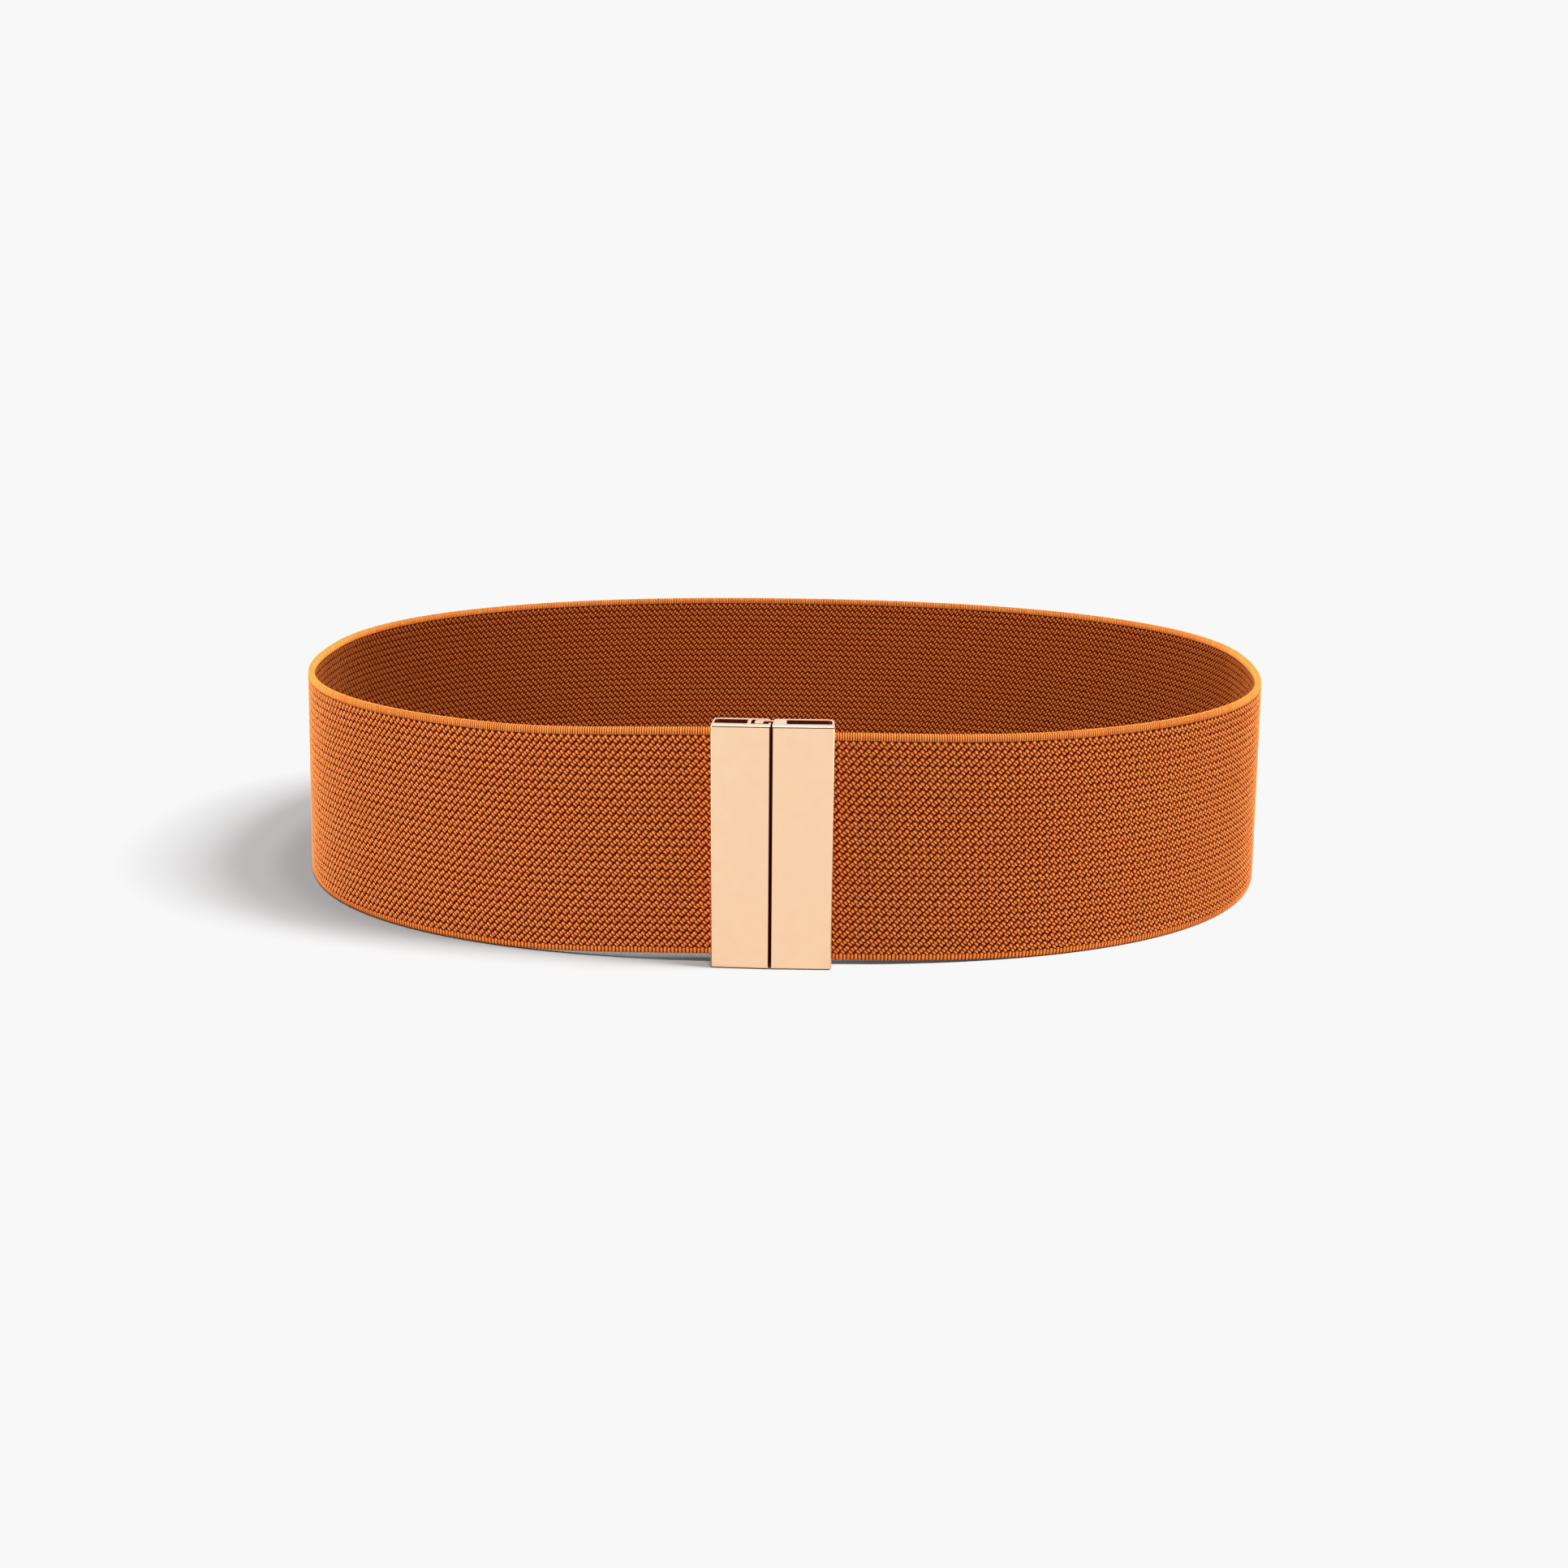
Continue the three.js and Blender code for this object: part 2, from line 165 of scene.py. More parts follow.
def stand_up(piece):
    """Carries a flat stretch of the webbing to its place on the loop. Where each point lay in the
    flat webbing stays on it as the attribute that its yarn is coloured by."""
    mesh = piece.data
    flat = np.empty(3 * len(mesh.vertices))
    mesh.vertices.foreach_get("co", flat)
    woven = mesh.attributes.new("woven", "FLOAT_VECTOR", "POINT")
    woven.data.foreach_set("vector", flat)
    distance, inward, height = flat.reshape(-1, 3).T

    place = np.stack([np.interp(distance, travelled, route[:, axis]) for axis in (0, 1)])
    along = np.stack([np.interp(distance, travelled, heading[:, axis]) for axis in (0, 1)])
    along /= np.linalg.norm(along, axis=0)
    outward = np.stack((along[1], -along[0]))

    from_hook = distance - hem_length(HOOK_HALF)
    from_socket = LENGTH - distance - hem_length(SOCKET_HALF)
    lift = np.where(from_hook < from_socket, HOOK_HALF["lift"], SOCKET_HALF["lift"])
    free = np.clip(np.minimum(from_hook, from_socket) / LIFT_RUN, 0, 1)
    free = free * free * (3 - 2 * free)
    angle = np.arctan2(place[1], place[0])
    flare = SIDE_FLARE * np.cos(angle) ** 2
    lean = FRONT_FLARE * np.maximum(0, -np.sin(2 * angle)) * (place[0] > 0)
    swing = (lean - flare) * (height / WEBBING_WIDTH - 0.5) * free

    standing = place + outward * (swing - inward) + loop_shift[:, None]
    standing = np.stack((standing[0], standing[1], height + lift * (1 - free)), axis=1)
    mesh.vertices.foreach_set("co", standing.ravel())
    mesh.update()


# Ground of the webbing: the rubber warp and the tight weft round it, a thin dark wall with rounded
# edges and the length of the whole band; its dark colour is partly painted shade for the bottom of the
# gaps. It is one short stretch, repeated and welded to the next.
COLUMNS = 422
REPEAT = LENGTH / COLUMNS  # along the webbing, from one grain of the weave to the next
GROUND_ROUNDING = 0.25 * MM
WELD = 0.01 * MM
SMOOTH_BELOW = math.radians(40)  # edges that turn by less than this look rounded


def start_piece(name):
    """The primitive that has just been added becomes the piece, open in edit mode."""
    piece = bpy.context.object
    piece.name = piece.data.name = name
    bpy.ops.object.mode_set(mode="EDIT")
    return piece


def apply_modifier(piece, kind, **settings):
    modifier = piece.modifiers.new(kind.title(), kind)
    for name, value in settings.items():
        setattr(modifier, name, value)
    bpy.context.view_layer.objects.active = piece
    bpy.ops.object.modifier_apply(modifier=modifier.name)


def repeat(piece, count, step, **welding):
    """Sets out copies of the piece in a row, in the same mesh."""
    apply_modifier(
        piece,
        "ARRAY",
        count=count,
        use_relative_offset=False,
        use_constant_offset=True,
        constant_offset_displace=step,
        **welding,
    )


def srgb(red, green, blue):
    """A colour as read off a screen, from 0 to 255, as the shader takes it."""
    shares = [channel / 255 for channel in (red, green, blue)]
    linear = [c / 12.92 if c <= 0.04045 else ((c + 0.055) / 1.055) ** 2.4 for c in shares]
    return (*linear, 1)


class Value:
    """An output in a finish's shader tree. Arithmetic on it adds Math nodes."""

    def __init__(self, finish, socket):
        self.finish = finish
        self.socket = socket

    def math(self, operation, *others):
        inputs = dict(enumerate((self, *others)))
        return self.finish.node("ShaderNodeMath", {"operation": operation}, inputs)

    def __add__(self, other):
        return self.math("ADD", other)

    def __radd__(self, other):
        return self.math("ADD", other)

    def __mul__(self, other):
        return self.math("MULTIPLY", other)

    def __rmul__(self, other):
        return self.math("MULTIPLY", other)


class Finish:
    """A material: one Principled shader, with its constant values, and the nodes that feed it."""

    def __init__(self, name, **constants):
        self.material = bpy.data.materials.new(name)
        self.material.use_nodes = True
        self.tree = self.material.node_tree
        self.shader = self.tree.nodes["Principled BSDF"]
        for socket, value in constants.items():
            self.shader.inputs[socket.replace("_", " ")].default_value = value

    def node(self, kind, settings=None, inputs=None, output=0):
        """Adds a node with its settings, and gives its sockets their values or links."""
        made = self.tree.nodes.new(kind)
        for name, value in (settings or {}).items():
            setattr(made, name, value)
        for name, value in (inputs or {}).items():
            self.feed(made.inputs[name], value)
        return Value(self, made.outputs[output])

    def feed(self, socket, value):
        if isinstance(value, Value):
            self.tree.links.new(value.socket, socket)
        else:
            socket.default_value = value

    def set(self, socket, value):
        self.feed(self.shader.inputs[socket], value)

    def mix(self, share, first, second):
        """The first colour, and as the share goes up to 1, the second."""
        inputs = {0: share, 6: first, 7: second}
        return self.node("ShaderNodeMix", {"data_type": "RGBA"}, inputs, output=2)

    def noise(self, place, scale, detail=2):
        inputs = {"Vector": place, "Scale": scale, "Detail": detail}
        return self.node("ShaderNodeTexNoise", None, inputs)

    def stored(self, name, output):
        """What a piece's mesh keeps at each point under this name."""
        return self.node("ShaderNodeAttribute", {"attribute_name": name}, output=output)

    def smooth_share(self, value, low, high):
        """Rises smoothly from 0 where the value is low to 1 where it is high."""
        limits = {"Value": value, "From Min": low, "From Max": high, "To Min": 0, "To Max": 1}
        return self.node("ShaderNodeMapRange", {"interpolation_type": "SMOOTHSTEP"}, limits)

    def place_on_object(self):
        return self.node("ShaderNodeTexCoord", output="Object")


bpy.ops.object.select_all(action="DESELECT")
bpy.ops.mesh.primitive_cube_add(
    location=(REPEAT / 2, 0, WEBBING_WIDTH / 2),
    scale=(REPEAT / 2, GROUND_FACE, WEBBING_WIDTH / 2 - GROUND_EDGE),
)
bpy.ops.object.transform_apply(location=True, scale=True)
ground = start_piece("webbing_ground")
bpy.ops.mesh.select_mode(type="FACE")
bpy.ops.mesh.select_all(action="DESELECT")
bpy.ops.object.mode_set(mode="OBJECT")
for face in ground.data.polygons:
    face.select = abs(face.normal.x) > 0.9
bpy.ops.object.mode_set(mode="EDIT")
bpy.ops.mesh.delete(type="FACE")
bpy.ops.mesh.select_mode(type="EDGE")
bpy.ops.object.mode_set(mode="OBJECT")
for edge in ground.data.edges:
    ends = [ground.data.vertices[i].co for i in edge.vertices]
    edge.select = abs(ends[0].x - ends[1].x) > REPEAT / 2
bpy.ops.object.mode_set(mode="EDIT")
bpy.ops.mesh.bevel(offset=GROUND_ROUNDING, segments=2)
bpy.ops.object.mode_set(mode="OBJECT")
repeat(ground, COLUMNS, (REPEAT, 0, 0), use_merge_vertices=True, merge_threshold=WELD)
bpy.ops.object.mode_set(mode="EDIT")
bpy.ops.mesh.select_all(action="DESELECT")
bpy.ops.mesh.select_non_manifold()
bpy.ops.mesh.edge_face_add()
bpy.ops.mesh.select_all(action="SELECT")
bpy.ops.mesh.normals_make_consistent(inside=False)
bpy.ops.object.mode_set(mode="OBJECT")
bpy.ops.object.shade_smooth_by_angle(angle=SMOOTH_BELOW)
stand_up(ground)

# The ground's dark red-brown is partly painted shade for the bottom of the gaps between the floats.
GROUND_DARK = srgb(72, 14, 1)
GROUND_LIGHT = srgb(100, 28, 4)
ground_yarn = Finish("webbing ground", Roughness=0.9, Specular_IOR_Level=0.0)
woven = ground_yarn.stored("woven", "Vector")
ground_tone = ground_yarn.noise(woven, scale=1500)
ground_yarn.set("Base Color", ground_yarn.mix(ground_tone, GROUND_DARK, GROUND_LIGHT))
ground.data.materials.append(ground_yarn.material)

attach(ground, "root")
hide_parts("elastic_band")


# The weave: fat soft yarn comes up through the ground in short floats, three to a course, stepping
# down "/" on the outer face with the top one the fattest and the next course close below them. One
# group of three is modelled, set out along the webbing and up it, and made uneven as soft yarn is.
COURSES = 27
COURSE_LOW = 2.0 * MM
COURSE_HIGH = 58.0 * MM
COURSE = (COURSE_HIGH - COURSE_LOW) / COURSES
COURSE_SHIFT = -0.03 * REPEAT  # each course starts this much further along than the one below
COURSE_BANDS = ("low", "middle", "high")  # the courses are shared out over three pieces
COURSES_IN_PIECE = COURSES // len(COURSE_BANDS)
END_MARGIN = 1.2 * MM  # bare ground at the webbing's ends, inside the clasp
FLOAT_FOOT = 0.42 * MM  # from the middle of the webbing, just inside the ground
# Each float: its middle along and up from the course's lower left, its length, width, height over
# its foot, the slope of its length, and the share of its length that stays at full height
OUTER_FLOATS = (
    (1.62 * MM, 1.50 * MM, 1.34 * MM, 1.62 * MM, 0.50 * MM, -50, 0.24),
    (0.94 * MM, 0.92 * MM, 1.28 * MM, 1.42 * MM, 0.46 * MM, -47, 0.24),
    (0.34 * MM, 0.34 * MM, 1.40 * MM, 1.26 * MM, 0.43 * MM, -42, 0.38),
)
INNER_FLOATS = (
    (1.60 * MM, 1.48 * MM, 1.22 * MM, 1.34 * MM, 0.46 * MM, -50, 0.22),
    (0.94 * MM, 0.90 * MM, 1.18 * MM, 1.20 * MM, 0.44 * MM, -47, 0.22),
    (0.34 * MM, 0.34 * MM, 1.20 * MM, 1.06 * MM, 0.40 * MM, -42, 0.28),
)
SHIFT_ALONG = 0.045 * MM  # how far single floats lie off their places
SHIFT_UP = 0.04 * MM
HEIGHT_SPREAD = 0.035  # how much their heights differ, as a share
DRIFT_ALONG = 0.10 * MM  # how far whole rows wander
DRIFT_UP = 0.05 * MM


def mark_crest(piece, chosen):
    """Marks the points on top of the yarn, so that painted shade can darken its colour down into the gaps.
    """
    crest = piece.data.attributes.new("crest", "FLOAT", "POINT")
    crest.data.foreach_set("value", [float(chosen(point.co)) for point in piece.data.vertices])


def add_float(name, along, up, length, width, height, slope, top):
    """A closed low mound on a six-sided foot, with a short ridge on top that faces -Y."""
    bpy.ops.object.select_all(action="DESELECT")
    bpy.ops.mesh.primitive_circle_add(vertices=6, radius=1, fill_type="NGON", rotation=(math.pi / 2, 0, 0))
    bpy.ops.object.transform_apply(rotation=True)
    piece = start_piece(name)
    bpy.ops.mesh.select_all(action="SELECT")
    across = width / 2 / math.sin(math.radians(60))  # a hexagon is narrower across its sides
    bpy.ops.transform.resize(value=(across, 1, length / 2), center_override=(0, 0, 0))
    bpy.ops.transform.translate(value=(0, -FLOAT_FOOT, 0))
    bpy.ops.mesh.extrude_region_move(TRANSFORM_OT_translate={"value": (0, -height, 0)})
    for end in (-1, 1):
        bpy.ops.mesh.select_all(action="DESELECT")
        bpy.ops.object.mode_set(mode="OBJECT")
        for point in piece.data.vertices:
            point.select = point.co.y < -FLOAT_FOOT - height / 2 and point.co.z * end > 0
        bpy.ops.object.mode_set(mode="EDIT")
        bpy.ops.mesh.merge(type="CENTER")
        reached = 2 / 3  # where the merged point lies, as a share of half the length
        bpy.ops.transform.translate(value=(0, 0, end * length / 2 * (top - reached)))
    bpy.ops.mesh.select_all(action="SELECT")
    bpy.ops.mesh.normals_make_consistent(inside=False)
    bpy.ops.object.mode_set(mode="OBJECT")
    mark_crest(piece, lambda place: place.y < -FLOAT_FOOT - height / 2)
    piece.rotation_euler = (0, math.radians(90 - slope), 0)
    piece.location = (along, 0, up)
    bpy.ops.object.transform_apply(location=True, rotation=True)
    return piece


def join(pieces):
    bpy.ops.object.select_all(action="DESELECT")
    for piece in pieces:
        piece.select_set(True)
    bpy.context.view_layer.objects.active = pieces[0]
    bpy.ops.object.join()
    return pieces[0]


def give_tints(piece, groups, chance):
    """Each group of points, such as a float, gets a random share of its own for its colour."""
    tint = piece.data.attributes.new("tint", "FLOAT", "POINT")
    tint.data.foreach_set("value", chance.random(groups.max() + 1)[groups].astype(np.float32))


def make_uneven(piece, groups, chance):
    """Shifts each float a little, and lets the whole weave drift, as woven yarn does."""
    flat = np.empty(3 * len(piece.data.vertices))
    piece.data.vertices.foreach_get("co", flat)
    flat = flat.reshape(-1, 3)
    floats = groups.max() + 1
    flat[:, 0] += chance.normal(0, SHIFT_ALONG, floats)[groups]
    flat[:, 2] += chance.normal(0, SHIFT_UP, floats)[groups]
    flat[:, 1] *= chance.normal(1, HEIGHT_SPREAD, floats)[groups]
    # Long waves of unlike lengths, so that no pattern shows in the drift
    along, up = flat[:, 0] / MM, flat[:, 2] / MM
    flat[:, 0] += DRIFT_ALONG * (np.sin(along / 5.3 + up / 3.1) + np.sin(along / 2.7 - up / 6.1))
    flat[:, 2] += DRIFT_UP * np.sin(along / 9.1 + 1.3 * np.sin(up / 4.7))
    piece.data.vertices.foreach_set("co", flat.ravel())


def weave_face(name, floats, first_course, inner, seed):
    """One face of the webbing, for the courses from the first one up."""
    group = join([add_float(name, *sizes) for sizes in floats])
    points = len(group.data.vertices)
    if inner:
        bpy.ops.object.mode_set(mode="EDIT")
        bpy.ops.mesh.select_all(action="SELECT")
        bpy.ops.transform.resize(value=(1, -1, 1), center_override=(0, 0, 0))
        bpy.ops.mesh.normals_make_consistent(inside=False)
        bpy.ops.object.mode_set(mode="OBJECT")
    bpy.ops.object.select_all(action="DESELECT")
    group.select_set(True)
    start = END_MARGIN - COURSE_SHIFT * (COURSES - first_course)
    group.location = (start, 0, COURSE_LOW + COURSE * first_course)
    bpy.ops.object.transform_apply(location=True)
    columns = int((LENGTH - 2 * END_MARGIN + COURSE_SHIFT * COURSES) / REPEAT) - 1
    repeat(group, columns, (REPEAT, 0, 0))
    repeat(group, COURSES_IN_PIECE, (COURSE_SHIFT, 0, COURSE))
    made = columns * COURSES_IN_PIECE * len(floats)
    groups = np.repeat(np.arange(made), points // len(floats))
    chance = np.random.default_rng(seed)
    give_tints(group, groups, chance)
    make_uneven(group, groups, chance)
    bpy.ops.object.shade_smooth()
    stand_up(group)
    group.data.materials.append(yarn.material)
    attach(group, "root")
    return group


# The yarn's own colour is on the crest of each float; the deep red-brown down its slopes into
# the gaps is painted shade, which also makes the floats look round.
GAP_PAINTED_SHADE = srgb(74, 10, 0)
SLOPE_PAINTED_SHADE = srgb(166, 68, 16)
CREST_GOLDEN = srgb(236, 164, 92)
CREST_ROSY = srgb(238, 156, 104)
STREAK_COLOUR = srgb(198, 104, 44)
# Painted shade: the inner face, which gets less light inside the loop, is mixed towards a darker colour.
INNER_FACE_SHADE = srgb(180, 84, 30)
STREAK_SCALE = (25, 25, 420)  # fine up the webbing and long along it
STREAK_SHARE = 0.6
INNER_FACE_SHADE_SHARE = 0.3
yarn = Finish(
    "elastic yarn",
    Roughness=0.9,
    Specular_IOR_Level=0.0,
    Sheen_Weight=0.3,
    Sheen_Roughness=0.3,
    Sheen_Tint=srgb(255, 160, 70),
)
woven = yarn.stored("woven", "Vector")
tint = yarn.stored("tint", "Fac")
crest = yarn.stored("crest", "Fac")
stretched = yarn.node(
    "ShaderNodeVectorMath", {"operation": "MULTIPLY"}, {0: woven, 1: STREAK_SCALE}, output="Vector"
)
streak = yarn.noise(stretched, scale=1)
through_webbing = yarn.node("ShaderNodeSeparateXYZ", None, {"Vector": woven}, output="Y")
on_inner_face = through_webbing.math("GREATER_THAN", 0)
float_colour = yarn.mix(tint, CREST_GOLDEN, CREST_ROSY)
float_colour = yarn.mix(streak * STREAK_SHARE, float_colour, STREAK_COLOUR)
float_colour = yarn.mix(on_inner_face * INNER_FACE_SHADE_SHARE, float_colour, INNER_FACE_SHADE)
# Painted shade: each float's colour darkens from its crest down its slopes to its foot.
out_of_gap = yarn.smooth_share(crest, low=0.08, high=0.6)
on_crest = yarn.smooth_share(crest, low=0.55, high=1)
shaded_slope = yarn.mix(out_of_gap, GAP_PAINTED_SHADE, SLOPE_PAINTED_SHADE)
yarn.set("Base Color", yarn.mix(on_crest, shaded_slope, float_colour))
fibre = yarn.noise(woven, scale=6000)
bumps = {"Strength": 0.3, "Distance": 0.02 * MM, "Height": fibre}
yarn.set("Normal", yarn.node("ShaderNodeBump", None, bumps))

weave = []
for side, floats in (("outer", OUTER_FLOATS), ("inner", INNER_FLOATS)):
    for band, height in enumerate(COURSE_BANDS):
        name = f"{side}_weave_{height}"
        first_course = band * COURSES_IN_PIECE
        weave.append(weave_face(name, floats, first_course, inner=side == "inner", seed=len(weave) + 1))
outer_weave, inner_weave = weave[: len(COURSE_BANDS)], weave[len(COURSE_BANDS) :]


# The selvedges: along both edges the yarn turns over from one face to the other in fine close
# ribs, three to each grain of the weave along the upper edge and two along the lower one.
EDGE_FOOT = 0.6 * MM  # the foot of a rib, from the middle of the webbing
EDGE_CREST = 0.86 * MM  # and its crest
TOP_BAND = 1.95 * MM  # how far the ribs reach over both faces
BOTTOM_BAND = 2.0 * MM
RIB_VARIETY = 0.04 * MM  # how much the crests of neighbouring ribs differ
TURN_STEPS = 5


def add_rib(name, middle, width, foot_height, turn_height, crest=EDGE_CREST):
    """A rib from its foot on the outer face, over the edge, and back to its foot on the inner one.
    It turns over the upper edge, or under the lower one where its turn is below its foot."""
    upward = 1 if turn_height > foot_height else -1
    bpy.ops.object.select_all(action="DESELECT")
    bpy.ops.mesh.primitive_circle_add(vertices=3, radius=1, fill_type="NGON")
    rib = start_piece(name)
    bpy.ops.mesh.select_all(action="SELECT")
    # A circle of three sides and radius 1 is 1.5 high, and its base is 0.5 from its centre
    across = width / 2 / math.sin(math.radians(60))
    bpy.ops.transform.resize(value=(across, -(crest - EDGE_FOOT) / 1.5, 1), center_override=(0, 0, 0))
    bpy.ops.transform.translate(value=(middle, -EDGE_FOOT - (crest - EDGE_FOOT) / 3, foot_height))
    rise = turn_height - foot_height
    bpy.ops.mesh.extrude_region_move(TRANSFORM_OT_translate={"value": (0, 0, rise)})
    bpy.ops.mesh.spin(steps=TURN_STEPS, angle=upward * math.pi, center=(0, 0, turn_height), axis=(1, 0, 0))
    bpy.ops.mesh.extrude_region_move(TRANSFORM_OT_translate={"value": (0, 0, -rise)})
    bpy.ops.mesh.select_all(action="SELECT")
    bpy.ops.mesh.normals_make_consistent(inside=False)
    bpy.ops.object.mode_set(mode="OBJECT")
    mark_crest(rib, lambda place: abs(place.x - middle) < width / 8)
    return rib


def edge_with_ribs(ribs, seed):
    """The ribs that lie over one grain of the weave, set out along the whole edge."""
    in_grain = len(ribs)
    edge = join(ribs)
    repeat(edge, COLUMNS, (REPEAT, 0, 0))
    points = len(edge.data.vertices)
    groups = np.arange(points) // (points // (COLUMNS * in_grain))
    give_tints(edge, groups, np.random.default_rng(seed))
    bpy.ops.object.shade_smooth()
    stand_up(edge)
    edge.data.materials.append(selvedge_yarn.material)
    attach(edge, "root")
    return edge


# Painted shade: each rib darkens from its middle line down to its feet and into the lines between ribs.
RIB_FOOT_SHADE = srgb(140, 48, 8)
RIB_DARK = srgb(224, 130, 58)
RIB_LIGHT = srgb(238, 146, 74)
# Painted shade: the ribs along the lower edge, near the floor and away from the light from above, are
# mixed towards a darker colour.
LOWER_RIB_SHADE = srgb(196, 96, 42)
LOWER_RIB_SHADE_SHARE = 0.55
selvedge_yarn = Finish("selvedge yarn", Roughness=0.8, Specular_IOR_Level=0.0)
woven = selvedge_yarn.stored("woven", "Vector")
tint = selvedge_yarn.stored("tint", "Fac")
crest = selvedge_yarn.stored("crest", "Fac")
proud = selvedge_yarn.smooth_share(crest, low=0.05, high=0.7)
rib_height = selvedge_yarn.node("ShaderNodeSeparateXYZ", None, {"Vector": woven}, output="Z")
on_lower_edge = rib_height.math("LESS_THAN", WEBBING_WIDTH / 2)
rib_colour = selvedge_yarn.mix(tint, RIB_DARK, RIB_LIGHT)
rib_colour = selvedge_yarn.mix(on_lower_edge * LOWER_RIB_SHADE_SHARE, rib_colour, LOWER_RIB_SHADE)
selvedge_yarn.set("Base Color", selvedge_yarn.mix(proud, RIB_FOOT_SHADE, rib_colour))

third = REPEAT / 3
top_rib_width = third * 1.1  # so that each rib overlaps the next
top_turn = WEBBING_WIDTH - EDGE_CREST
top_foot = WEBBING_WIDTH - TOP_BAND
top_ribs = edge_with_ribs(
    [
        add_rib("top_selvedge", third * 0.5, top_rib_width, top_foot, top_turn),
        add_rib("rib", third * 1.5, top_rib_width, top_foot, top_turn, EDGE_CREST + RIB_VARIETY),
        add_rib("rib", third * 2.5, top_rib_width, top_foot, top_turn - RIB_VARIETY / 2),
    ],
    seed=5,
)

short_foot = BOTTOM_BAND - 0.3 * MM
bottom_ribs = edge_with_ribs(
    [
        add_rib("bottom_selvedge", REPEAT * 0.27, REPEAT * 0.54, BOTTOM_BAND, EDGE_CREST),
        add_rib("rib", REPEAT * 0.77, REPEAT * 0.5, short_foot, EDGE_CREST, EDGE_CREST - RIB_VARIETY),
    ],
    seed=6,
)


# The two ends of the webbing are folded back on the outer side and sewn to hems that fill the
# clasp's pockets. Each fold is a short thick layer that lies on the end of the ground.
FOLD_NEAR = 0.9 * MM  # from the middle of the webbing to the fold's near and far faces
FOLD_FAR = 2.45 * MM
FOLD_ROUNDING = 0.4 * MM
folds = []
for name, first, last in (
    ("fold_in_hook_half", 0, hem_length(HOOK_HALF) - CLEARANCE),
    ("fold_in_socket_half", LENGTH - hem_length(SOCKET_HALF) + CLEARANCE, LENGTH),
):
    bpy.ops.object.select_all(action="DESELECT")
    bpy.ops.mesh.primitive_cube_add(
        location=((first + last) / 2, -(FOLD_NEAR + FOLD_FAR) / 2, WEBBING_WIDTH / 2),
        scale=((last - first) / 2, (FOLD_FAR - FOLD_NEAR) / 2, WEBBING_WIDTH / 2 - GROUND_EDGE),
    )
    bpy.ops.object.transform_apply(location=True, scale=True)
    fold = start_piece(name)
    bpy.ops.mesh.select_all(action="SELECT")
    bpy.ops.mesh.bevel(offset=FOLD_ROUNDING, segments=2)
    bpy.ops.object.mode_set(mode="OBJECT")
    bpy.ops.object.shade_smooth_by_angle(angle=SMOOTH_BELOW)
    stand_up(fold)
    # The folds take the ground's colour, and with it its painted shade.
    fold.data.materials.append(ground_yarn.material)
    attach(fold, "root")
    folds.append(fold)


# The clasp: two flat tubes of cast zinc alloy, plated in satin rose gold. The hook half's tongue
# and bead slide into the socket half's open channel.
CLASP_DEPTH = 8.3 * MM
CLASP_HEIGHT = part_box("clasp_socket_half")[1].z
RIM_ROUNDING = 0.22 * MM
SAME_POINT = 0.002 * MM
SAME_PLANE = math.radians(1)
ROUNDED_ABOVE = math.radians(40)  # edges that turn by more than this are rounded
SMOOTH_METAL_BELOW = math.radians(35)


def is_inside(face, half):
    """The upright faces of the pocket, the channel and the line between the two plates, which get painted
    shade.
    """
    place = turned(face.center.xy - Vector(loop_shift) - MEETING, -half["turn"])
    reach = HALF_GAP + half["width"] - OUTER_WALL / 2
    behind_front = 0.1 * MM
    before_back = CLASP_DEPTH - 0.7 * MM
    in_pocket = behind_front < place.y < before_back and half["side"] * place.x < reach
    beside_line = abs(place.x) < HALF_GAP + RIM_ROUNDING
    return abs(face.normal.z) < 0.5 and (in_pocket or beside_line)


def is_under_top_edge(face):
    """Faces just under the front plates' upper edge, where a fine dark line is a painted dark reflection.
    """
    faces_front = face.normal.y < -0.8 and 0.1 < face.normal.z < 0.35
    return faces_front and face.center.z > CLASP_HEIGHT - 1 * MM


def rounded_copy(name, node, half):
    """One half of the clasp with its sharp edges rounded, plated outside, with painted shade on its inner
    faces and a painted dark reflection under its top edge.
    """
    piece = bpy.data.objects.new(name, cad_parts[node].data.copy())
    bpy.context.scene.collection.objects.link(piece)
    piece.data.materials.clear()
    bpy.ops.object.select_all(action="DESELECT")
    piece.select_set(True)
    bpy.context.view_layer.objects.active = piece
    bpy.ops.mesh.customdata_custom_splitnormals_clear()
    bpy.ops.object.mode_set(mode="EDIT")
    bpy.ops.mesh.select_all(action="SELECT")
    bpy.ops.mesh.remove_doubles(threshold=SAME_POINT)
    bpy.ops.mesh.dissolve_limited(angle_limit=SAME_PLANE)
    bpy.ops.object.mode_set(mode="OBJECT")
    apply_modifier(
        piece,
        "BEVEL",
        width=RIM_ROUNDING,
        segments=2,
        limit_method="ANGLE",
        angle_limit=ROUNDED_ABOVE,
        use_clamp_overlap=False,
    )
    bpy.ops.object.shade_smooth_by_angle(angle=SMOOTH_METAL_BELOW)
    piece.data.materials.append(rose_gold.material)
    piece.data.materials.append(painted_dark.material)
    # Painted shade goes on the inner faces, and a painted dark reflection on the bevel under the top edge.
    for face in piece.data.polygons:
        face.material_index = int(is_inside(face, half) or is_under_top_edge(face))
    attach(piece, "root")
    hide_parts(node)
    return piece


PLATING_DEEP = srgb(246, 203, 166)
PLATING_PALE = srgb(252, 211, 174)
rose_gold = Finish("satin rose gold", Metallic=1.0)
mottle = rose_gold.noise(rose_gold.place_on_object(), scale=300, detail=4)
rose_gold.set("Base Color", rose_gold.mix(mottle, PLATING_DEEP, PLATING_PALE))
rose_gold.set("Roughness", 0.26 + mottle * 0.1)

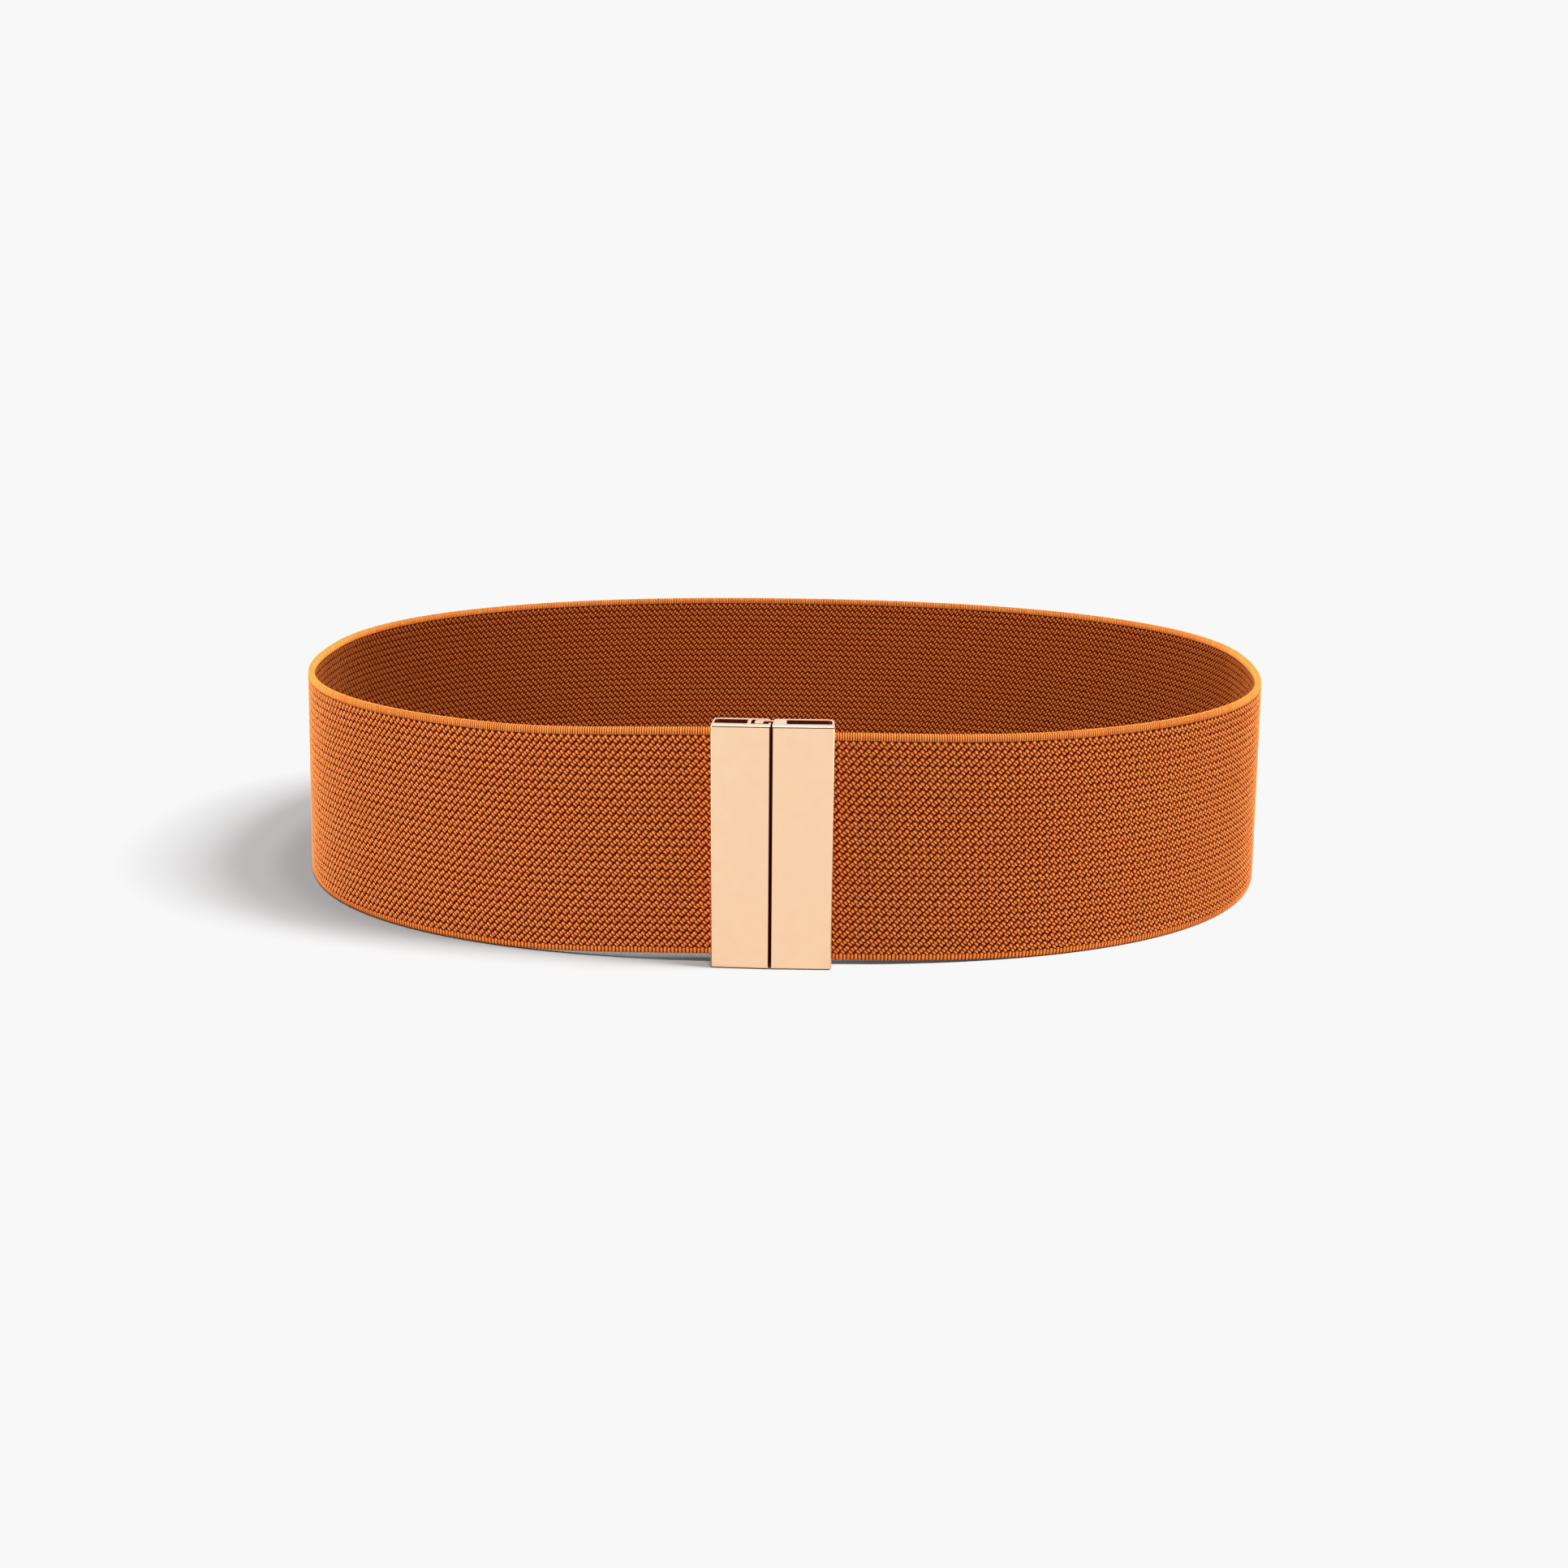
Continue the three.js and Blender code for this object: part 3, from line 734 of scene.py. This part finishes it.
# Painted shade for the clasp's inner faces, which are plated like the rest, and a painted dark reflection
# under the top edge; the noise only varies it.
PAINTED_SHADE_DEEP = srgb(44, 14, 8)
PAINTED_SHADE_PALE = srgb(84, 34, 18)
painted_dark = Finish("painted shade and dark reflection on the clasp", Metallic=1.0)
grain = painted_dark.noise(painted_dark.place_on_object(), scale=2000)
painted_dark.set("Base Color", painted_dark.mix(grain, PAINTED_SHADE_DEEP, PAINTED_SHADE_PALE))
painted_dark.set("Roughness", 0.5 + grain * 0.2)

socket_half = rounded_copy("clasp_socket", "clasp_socket_half", SOCKET_HALF)
hook_half = rounded_copy("clasp_hook", "clasp_hook_half", HOOK_HALF)


# Studio: a plain pale floor and even white light all round. Suns stand for soft lights: four light
# only the floor, for the belt's shadows there, four the webbing, from above the camera and on its
# outer face from both sides and its inner face from the left, and three the clasp.
bpy.ops.object.select_all(action="DESELECT")
FLOOR_SIZE = 60  # metres, so that its edge is never seen
FLOOR_ALBEDO = 0.13
bpy.ops.mesh.primitive_plane_add(size=FLOOR_SIZE)
floor = bpy.context.object
floor.name = floor.data.name = "floor"
paper = Finish("floor paper", Roughness=1.0, Specular_IOR_Level=0.0)
paper.set("Base Color", (FLOOR_ALBEDO, FLOOR_ALBEDO, FLOOR_ALBEDO, 1))
floor.data.materials.append(paper.material)

world = bpy.data.worlds.new("studio")
world.use_nodes = True
all_round = world.node_tree.nodes["Background"]
all_round.inputs["Color"].default_value = (1, 1, 1, 1)
all_round.inputs["Strength"].default_value = 1.0
bpy.context.scene.world = world


def lit_together(name, pieces):
    """A group that lights can be kept to. It shows nothing by itself."""
    group = bpy.data.collections.new(name)
    for piece in pieces:
        group.objects.link(piece)
    return group


def add_light(name, lit, energy, spread, rise, side):
    """A sun that lights one group of things, side degrees round from +X away from the camera."""
    bpy.ops.object.light_add(type="SUN")
    light = bpy.context.object
    light.name = name
    rise, side = math.radians(rise), math.radians(side)
    towards = Vector((math.cos(rise) * math.cos(side), math.cos(rise) * math.sin(side), math.sin(rise)))
    light.rotation_euler = towards.to_track_quat("Z", "Y").to_euler()
    light.data.energy = energy
    light.data.angle = math.radians(spread)
    light.light_linking.receiver_collection = lit


floor_group = lit_together("lit floor", [floor])
webbing_group = lit_together("lit webbing", [ground, *weave, top_ribs, bottom_ribs, *folds])
outer_group = lit_together("lit outer face", [*outer_weave, top_ribs, bottom_ribs])
inner_group = lit_together("lit inner face", inner_weave)
clasp_group = lit_together("lit clasp", [socket_half, hook_half])
add_light("side_light_high", floor_group, energy=7.6, spread=16, rise=60, side=-9)
add_light("side_light_low", floor_group, energy=6.8, spread=16, rise=46, side=-8)
add_light("top_light_right", floor_group, energy=2.6, spread=10, rise=78, side=-12)
add_light("top_light_front", floor_group, energy=7.0, spread=8, rise=80, side=-85)
add_light("webbing_light", webbing_group, energy=0.65, spread=30, rise=52, side=-97)
add_light("outer_light_right", outer_group, energy=3.7, spread=30, rise=20, side=-2)
add_light("outer_light_left", outer_group, energy=3.6, spread=30, rise=20, side=-178)
add_light("inner_light", inner_group, energy=0.9, spread=30, rise=35, side=-135)
add_light("clasp_light_right", clasp_group, energy=3, spread=20, rise=12, side=-20)
add_light("clasp_light_left", clasp_group, energy=3, spread=20, rise=12, side=-160)
add_light("clasp_light_above", clasp_group, energy=1.6, spread=25, rise=76, side=-90)

# All that is brighter than the white level shows as one even near white
WHITE_LEVEL = 0.939
view = bpy.context.scene.view_settings
view.view_transform = "Standard"
view.use_curve_mapping = True
whole = view.curve_mapping.curves[3]
whole.points[1].location = (1, WHITE_LEVEL)
whole.points.new(WHITE_LEVEL, WHITE_LEVEL)
for point in whole.points:
    point.handle_type = "VECTOR"
view.curve_mapping.extend = "HORIZONTAL"
view.curve_mapping.update()


# Camera, as the photograph was taken: in front of the clasp and about 170 mm above the floor, looking
# down on the loop so that its inner face shows over the front.
CAMERA_PLACE = (0.1 * MM, -610.0 * MM, 171.2 * MM)
CAMERA_PITCH = 13.93  # degrees down
CAMERA_ROLL = 0.5
LENS = 46.77  # mm, for a picture as wide as the next value
PICTURE_WIDTH = 36
NEAREST_SEEN = 10 * MM
bpy.ops.object.camera_add(location=CAMERA_PLACE)
camera = bpy.context.object
camera.rotation_euler = (
    Euler((math.radians(90 - CAMERA_PITCH), 0, 0)).to_matrix()
    @ Matrix.Rotation(math.radians(CAMERA_ROLL), 3, "Z")
).to_euler()
camera.data.lens = LENS
camera.data.sensor_width = PICTURE_WIDTH
camera.data.clip_start = NEAREST_SEEN
bpy.context.scene.camera = camera
